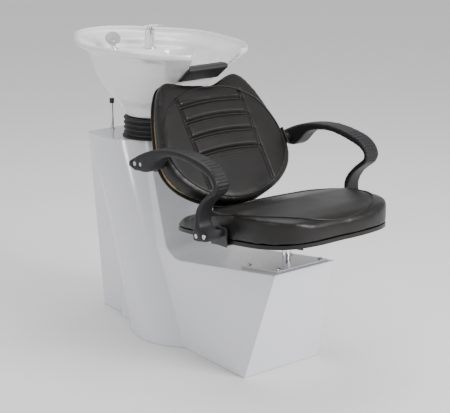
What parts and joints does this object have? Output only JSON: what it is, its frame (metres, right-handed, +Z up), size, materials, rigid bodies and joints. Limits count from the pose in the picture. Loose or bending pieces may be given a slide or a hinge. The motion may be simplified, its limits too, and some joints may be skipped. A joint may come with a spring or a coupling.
{
  "type": "shampoo backwash unit",
  "caption": "Salon backwash unit: a ceramic bowl that tilts on a moulded column, with taps, a hand spray and a fixed padded armchair.",
  "frame": {"origin": "centre of the footprint box, on the floor", "axes": "+Z up, +Y from the chair towards the bowl, so the client faces -Y; +X is the client's left"},
  "size_m": [0.656, 1.3103, 0.9904],
  "materials": {
    "moulding_white": "gloss",
    "china_white": "gloss",
    "leather_black": "satin",
    "rubber_black": "matte",
    "arm_black": "matte",
    "cover_black": "matte",
    "chrome": "polished",
    "steel": "satin",
    "painted_steel": "satin",
    "plywood": "matte",
    "trap_white": "satin"
  },
  "bodies": {
    "base": {"base_shell": "moulding_white", "access_panel": "moulding_white", "panel_screws": "steel", "frame_rails": "painted_steel", "frame_crossbars": "painted_steel", "foot_plates": "painted_steel", "pedestal": "painted_steel", "backing_plate": "painted_steel", "post_socket": "painted_steel", "seat_plate": "steel", "seat_plate_bolts": "steel", "mast": "painted_steel", "tilt_bracket": "painted_steel", "pivot_pins": "steel", "gaiter": "rubber_black", "stop_rods": "chrome", "stop_collars": "chrome", "stop_buffers": "rubber_black", "seat_post": "chrome", "seat_top_plate": "painted_steel", "seat_rails": "painted_steel", "seat_board": "plywood", "seat_cushion": "leather_black", "seat_screws": "steel", "chair_bracket": "steel", "bracket_screws": "steel", "back_cushion": "leather_black", "back_board": "plywood", "back_cover": "cover_black", "seat_lugs": "painted_steel", "back_lugs": "painted_steel", "arm_left": "arm_black", "arm_right": "arm_black", "arm_bolts": "steel"},
    "bowl": {"bowl": "china_white", "neck_rest": "rubber_black", "bowl_cradle": "painted_steel", "cradle_bolts": "steel", "waste_flange": "chrome", "waste_nut": "steel", "tailpiece": "trap_white", "tail_nut": "trap_white", "trap_body": "trap_white", "trap_cup": "trap_white", "mixer_body": "chrome", "tap_nuts": "steel", "inlet_tails": "steel", "spray_bush": "chrome"},
    "mixer_cap": {"mixer_cap": "chrome", "lever_pin": "steel"},
    "lever": {"lever": "chrome"},
    "spray": {"spray_head": "chrome"},
    "strainer": {"strainer": "chrome"}
  },
  "joints": [
    {"name": "bowl_tilt", "type": "hinge", "parent": "base", "child": "bowl", "pos_m": [0, 0.31, 0.715], "axis": [-1, 0, 0], "range_deg": [0, 12], "deforming": ["gaiter"]},
    {"name": "mixer_swivel", "type": "hinge", "parent": "bowl", "child": "mixer_cap", "pos_m": [0.092, 0.447, 0.96], "axis": [0, 0, 1], "range_deg": [-45, 45]},
    {"name": "lever_lift", "type": "hinge", "parent": "mixer_cap", "child": "lever", "pos_m": [0.092, 0.447, 0.9684], "axis": [-1, 0, 0], "range_deg": [0, 15]},
    {"name": "spray_pull", "type": "slide", "parent": "bowl", "child": "spray", "axis": [0, 0, 1], "range_m": [0, 0.06]},
    {"name": "strainer_lift", "type": "slide", "parent": "bowl", "child": "strainer", "axis": [0, 0, 1], "range_m": [0, 0.03]}
  ]
}
